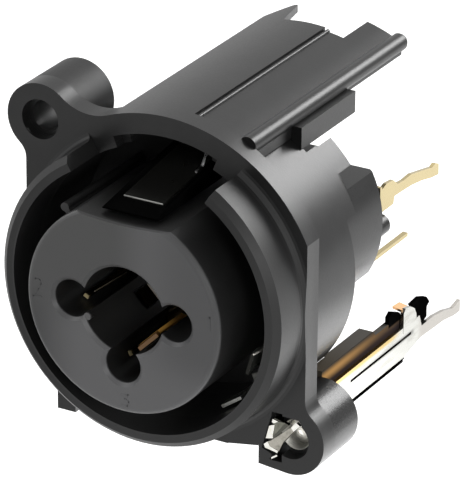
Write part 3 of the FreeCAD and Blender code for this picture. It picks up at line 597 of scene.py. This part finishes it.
# %% Sleeve in the ear's hole
LINING_RADIUS, LINING_WALL = 1.245, 0.06
LINING_FRONT, LINING_BACK = 1.0, 5.2
LINING_START, LINING_END, LINING_STOPS = 170.0, 365.0, 28
ROUND_THE_WALL = (1.0, 3.0, 1.0)

lining_finish = plated("lining_steel", (0.90, 0.88, 0.80), (0.45, 0.44, 0.41), 0.4, ROUND_THE_WALL)
lining_finish.set("Metallic", 0.3)
radii = LINING_RADIUS - LINING_WALL * np.array([0, 0, 1, 1])
depths = np.array([LINING_FRONT, LINING_BACK, LINING_BACK, LINING_FRONT])
turn = np.radians(np.linspace(LINING_START, LINING_END, LINING_STOPS))[:, None]
beside, above = EAR_X + radii * np.cos(turn), EAR_Z + radii * np.sin(turn)
lining = np.stack([beside, np.tile(depths, (LINING_STOPS, 1)), above], axis=-1)
add_piece("ear_hole_lining", sweep(lining), lining_finish, smooth=True)

# %% [markdown]
# ## Creased tongues
# The ground strip ends in creased tongues at the ear, and each crease throws the light another way.
# The strip's solid has plainer tongues. They could be bent in its mesh, but a solid stays as it is,
# so the light and shade of the creases is painted: flat plates of 0.05 mm are laid on, with one copy
# of the metal for each of three levels of brightness, a painted highlight, a painted half light and
# a painted shade. Their outlines are given from the ear's centre.

# %% Creased tongues
FACET_THICKNESS = 0.05
LIT_FACETS = [
    [(-1.49, 1.35), (-1.03, 1.24), (-1.37, 1.02), (-1.55, 1.06)],
    [(-1.77, 0.72), (-1.32, 0.9), (-1.45, -0.25), (-2.06, -0.4)],
    [(0.09, 1.02), (0.49, 1.53), (0.83, 1.31), (0.3, 0.73)],
    [(-2.22, -0.92), (-1.91, -0.65), (-1.71, -1.0), (-0.97, -1.14), (-1.07, -1.38), (-2.11, -1.2)],
    [(-1.75, -2.0), (-1.67, -2.09), (-1.04, -1.66), (-1.12, -1.56)],
]
SHADED_FACETS = [
    [(-1.03, 1.24), (-0.42, 1.28), (-1.10, 0.34), (-1.48, -0.16), (-1.32, 0.9), (-1.37, 1.02)],
]
HALF_LIT_FACETS = [
    [(0.09, 1.02), (0.3, 0.73), (-0.54, -0.31), (-0.93, -1.21), (-1.71, -1.0), (-1.91, -0.65),
     (-1.59, -0.47)],
]
# Painted light and shade: one metal in three brightnesses, for the lit, half-lit and shaded facets.
highlight_facet_finish = plated("tongue_painted_highlight", (0.95, 0.94, 0.88), (0.70, 0.68, 0.60), 0.2)
shade_facet_finish = plated("tongue_painted_shade", (0.20, 0.20, 0.165), (0.10, 0.10, 0.08), 0.3)
half_light_facet_finish = plated("tongue_painted_half_light", (0.42, 0.40, 0.35), (0.22, 0.21, 0.18), 0.3)


def facets(outlines):
    """Thin plates on the flange's front plane, from outlines about the lower ear's centre."""
    flat = [np.insert(np.array(outline) + (EAR_X, EAR_Z), 1, 0.0, axis=1) for outline in outlines]
    return joined([plate(outline, (0.0, FACET_THICKNESS, 0.0)) for outline in flat])


add_piece("tongue_highlight_facets", facets(LIT_FACETS), highlight_facet_finish)
add_piece("tongue_shade_facets", facets(SHADED_FACETS), shade_facet_finish)
add_piece("tongue_half_light_facets", facets(HALF_LIT_FACETS), half_light_facet_finish)

# %% [markdown]
# ## Bright edges inside the collar
#
# A sheared edge of steel or brass keeps a burr, and in a dark hole this burr is all that shows. A
# bevel on the whole strip would brighten every edge, so a thin rod is laid along the one that is
# rubbed: on a spring leaf in the jack bore and on a finger. On the front lip of the latch's leaf,
# where it rides on the latch, a paler rod is a painted highlight along the edge. The bead at the
# bore's rim is a short rod of the insert's plastic.

# %% Burrs and bead
BORE_EDGE = (-3.20, -4.8, 0.34), (-3.27, 0.0, 0.0)
BEAD_AXIS = (-3.10, -6.05, -1.20), (-3.10, -5.5, -1.20)
FINGER_EDGE = (10.12, -4.37, -1.80), (10.14, -2.95, -1.96)
LEAF_EDGE = (-1.33, -3.62, 8.10), (1.98, -3.62, 8.10)

edge_finish = moulded("bore_edge_metal", (0.10, 0.085, 0.06), (0.15, 0.125, 0.09), 0.4)
add_piece("bore_leaf_edge", rod(*BORE_EDGE, radius=0.04), edge_finish)
add_piece("bore_nub", rod(*BEAD_AXIS, radius=0.30, sides=16), insert_finish)
add_piece("finger_burr", rod(*FINGER_EDGE, radius=0.075), lining_finish)
# Painted highlight along the front lip of the latch's leaf.
add_piece("leaf_lip", rod(*LEAF_EDGE, radius=0.065), lip_highlight_finish, body="latch")

# %% [markdown]
# ## End of the ground strip
#
# Between the carrier's lug and hook the strip ends in a rounded cap, folded over at the top, where
# the copper of the core shows. A bent sheet with a Solidify modifier would give both at once, but
# they differ in finish, so they are two flat plates. Below the strip the carrier has a thin foot
# along its length, and by the lug its rail steps down. These are bars with a rectangular section.

# %% Cap, fold and carrier edges
CAP_OUTLINE = np.array([(18.15, 1.3), (18.15, 3.05), (18.45, 3.35), (19.3, 3.2), (19.95, 2.8),
                        (20.3, 2.2), (20.4, 1.3)])
CAP_X, CAP_THICKNESS = 10.92, 0.3
FOLD = [(10.7, 18.15, 3.30), (10.7, 19.3, 3.20), (9.9, 19.3, 3.35), (9.9, 18.15, 3.45)]
FOLD_THICKNESS = 0.2
# Limits along X, along Y, and along Z above the ear's centre.
FOOT = (10.2, 10.93), (5.45, 18.15), (-1.12, -0.83)
LOW_RAIL = (10.1, 10.582), (13.9, 16.8), (1.86, 2.78)

copper_finish = plated("cap_copper", (0.95, 0.55, 0.28), (0.80, 0.42, 0.18), 0.3)
cap = np.insert(CAP_OUTLINE + (0.0, EAR_Z), 0, CAP_X, axis=1)
add_piece("ground_cap", plate(cap, (-CAP_THICKNESS, 0.0, 0.0)), strip_finish)
fold = np.array(FOLD) + (0.0, 0.0, EAR_Z)
add_piece("ground_cap_fold", plate(fold, (0.0, 0.0, -FOLD_THICKNESS)), copper_finish)


def bar(x, y, z):
    """A bar along Y: the rectangle between the limits in x and z, as a plate from y to y."""
    corners = [(x[0], y[0], z[0]), (x[1], y[0], z[0]), (x[1], y[0], z[1]), (x[0], y[0], z[1])]
    return plate(np.array(corners) + (0.0, 0.0, EAR_Z), (0.0, y[1] - y[0], 0.0))


add_piece("carrier_foot", bar(*FOOT), carrier_finish)
add_piece("carrier_low_rail", bar(*LOW_RAIL), carrier_finish)

# %% [markdown]
# ## Camera
#
# The photograph shows the socket from a third of a metre away through a long lens, so that parallel
# edges nearly stay parallel. A Track To constraint could aim the camera, but it can't hold the small
# roll. So the matrix is written out: `outward` points from the socket to the camera, and the
# camera's other axes follow from it, level to the right and then up, both turned by the roll. The
# angles, the distance and the lens come from outlines measured in the photograph.

# %% Place the camera
AZIMUTH, ELEVATION, ROLL = (math.radians(angle) for angle in (29.345, 24.287, 0.498))
DISTANCE = 326.22
TARGET = Vector((6.016, 0.0, 4.681))
LENS, SENSOR = 338.73, 36.0
NEAREST = 0.01


def direction(azimuth, elevation):
    """(sin a cos e, -cos a cos e, sin e): azimuth 0 is in front of the panel, 90 on the right."""
    flat = math.cos(elevation)
    return Vector((math.sin(azimuth) * flat, -math.cos(azimuth) * flat, math.sin(elevation)))


outward = direction(AZIMUTH, ELEVATION)
level = (-outward).cross(Vector((0, 0, 1))).normalized()
upright = level.cross(-outward)
right = math.cos(ROLL) * level + math.sin(ROLL) * upright
up = math.cos(ROLL) * upright - math.sin(ROLL) * level
spot = (TARGET + outward * DISTANCE) * MM

camera_data = bpy.data.cameras.new("camera")
camera_data.lens = LENS
camera_data.sensor_width = SENSOR
camera_data.sensor_fit = "HORIZONTAL"
camera_data.clip_start = NEAREST
camera = bpy.data.objects.new("camera", camera_data)
bpy.context.scene.collection.objects.link(camera)
turned = Matrix((right, up, outward)).transposed().to_4x4()
camera.matrix_world = Matrix.Translation(spot) @ turned
bpy.context.scene.camera = camera
print("camera", round(DISTANCE), "mm away")

# %% [markdown]
# ## Pale studio
#
# The socket hangs over a pale floor, which catches its shadow. The white behind it could be made
# with more light, but that would wash out the plastic. So the floor and the world glow only for the
# rays that show the background: camera rays, and glossy and transmission rays, so that the metal
# mirrors the same white. For every other ray the world is a dim fill.

# %% Floor and world
FLOOR_Z, FLOOR_SIZE = -40.0, 4000.0
FLOOR_COLOUR, FLOOR_GLOW = grey(0.90), grey(0.50)
BLACK, WHITE = grey(0.0), grey(1.0)
FILL = 0.10


def background_rays(tree):
    """1 for the rays that show the background, and 0 for those that only carry light."""
    paths = tree.node("ShaderNodeLightPath")
    camera_ray, glossy_ray, clear_ray = (Value(tree, paths.outputs[f"Is {kind} Ray"])
                                         for kind in ("Camera", "Glossy", "Transmission"))
    return (camera_ray + glossy_ray + clear_ray).clamped()


bpy.ops.mesh.primitive_plane_add(size=FLOOR_SIZE * MM, location=(0, 0, FLOOR_Z * MM))
floor = bpy.context.object
floor.name = "floor"
floor_finish = Finish("floor_white", 0.9)
floor_finish.paint(FLOOR_COLOUR)
floor_glow = floor_finish.mix(BLACK, FLOOR_GLOW, background_rays(floor_finish))
floor_finish.set("Emission Color", floor_glow)
floor_finish.set("Emission Strength", 1.0)
floor.data.materials.append(floor_finish.material)

world = bpy.data.worlds.new("world")
world.use_nodes = True
bpy.context.scene.world = world
sky_tree = Tree(world.node_tree)
sky = sky_tree.tree.nodes["Background"]
sky_tree.plug(sky.inputs["Color"], WHITE)
sky_tree.plug(sky.inputs["Strength"], FILL + (1.0 - FILL) * background_rays(sky_tree))
print("floor", -FLOOR_Z, "mm below the axis, fill light", FILL)

# %% [markdown]
# ## Lamps
#
# Black plastic shows little colour of its own. What one sees on it are the lamps, blurred. Small
# lamps would leave hard spots, so these are softboxes, each set where a face mirrors it to the
# camera: the key behind on the right draws the band of light along the barrel, the two in front
# light the chamfer and the metal, those at the left and the rear fill the roof, and one on the floor
# lifts the underside. A lamp's radiance is compared with white, 1, and its power follows from its
# size.

# %% Set the lamps
# For each lamp: azimuth, elevation, distance, width and height, and then its radiance.
LAMPS = {
    "key": ((156, 29, 260, 140, 100), 13.0),
    "side_left": ((-112, 24, 500, 200, 170), 2.6),
    "rear_high": ((-165, 55, 500, 220, 200), 1.2),
    "front_left": ((-55, 34, 500, 260, 220), 3.7),
    "front_right": ((54, 17, 500, 150, 130), 10.0),
    "rear_floor": ((145, -38, 62, 56, 50), 1.5),
}


def softbox(name, azimuth, elevation, distance, width, height, radiance):
    """A rectangular lamp in the given direction from the socket, facing it.

    Its power is radiance times pi times its area.
    """
    data = bpy.data.lights.new(name, "AREA")
    data.shape = "RECTANGLE"
    data.size, data.size_y = width * MM, height * MM
    data.energy = radiance * math.pi * data.size * data.size_y
    lamp = bpy.data.objects.new(name, data)
    bpy.context.scene.collection.objects.link(lamp)
    lamp.location = direction(math.radians(azimuth), math.radians(elevation)) * distance * MM
    lamp.rotation_euler = (-lamp.location).to_track_quat("-Z", "Y").to_euler()
    return lamp


lamps = {name: softbox("light_" + name, *place, radiance)
         for name, (place, radiance) in LAMPS.items()}
lamps["rear_floor"].rotation_euler = (math.pi, 0.0, 0.0)
bpy.context.scene.view_settings.view_transform = "Standard"
print(len(lamps), "lamps, key radiance", LAMPS["key"][1])

# %% [markdown]
# ## Sizes
#
# The details add 0.02 mm, the height of the figures on the face.
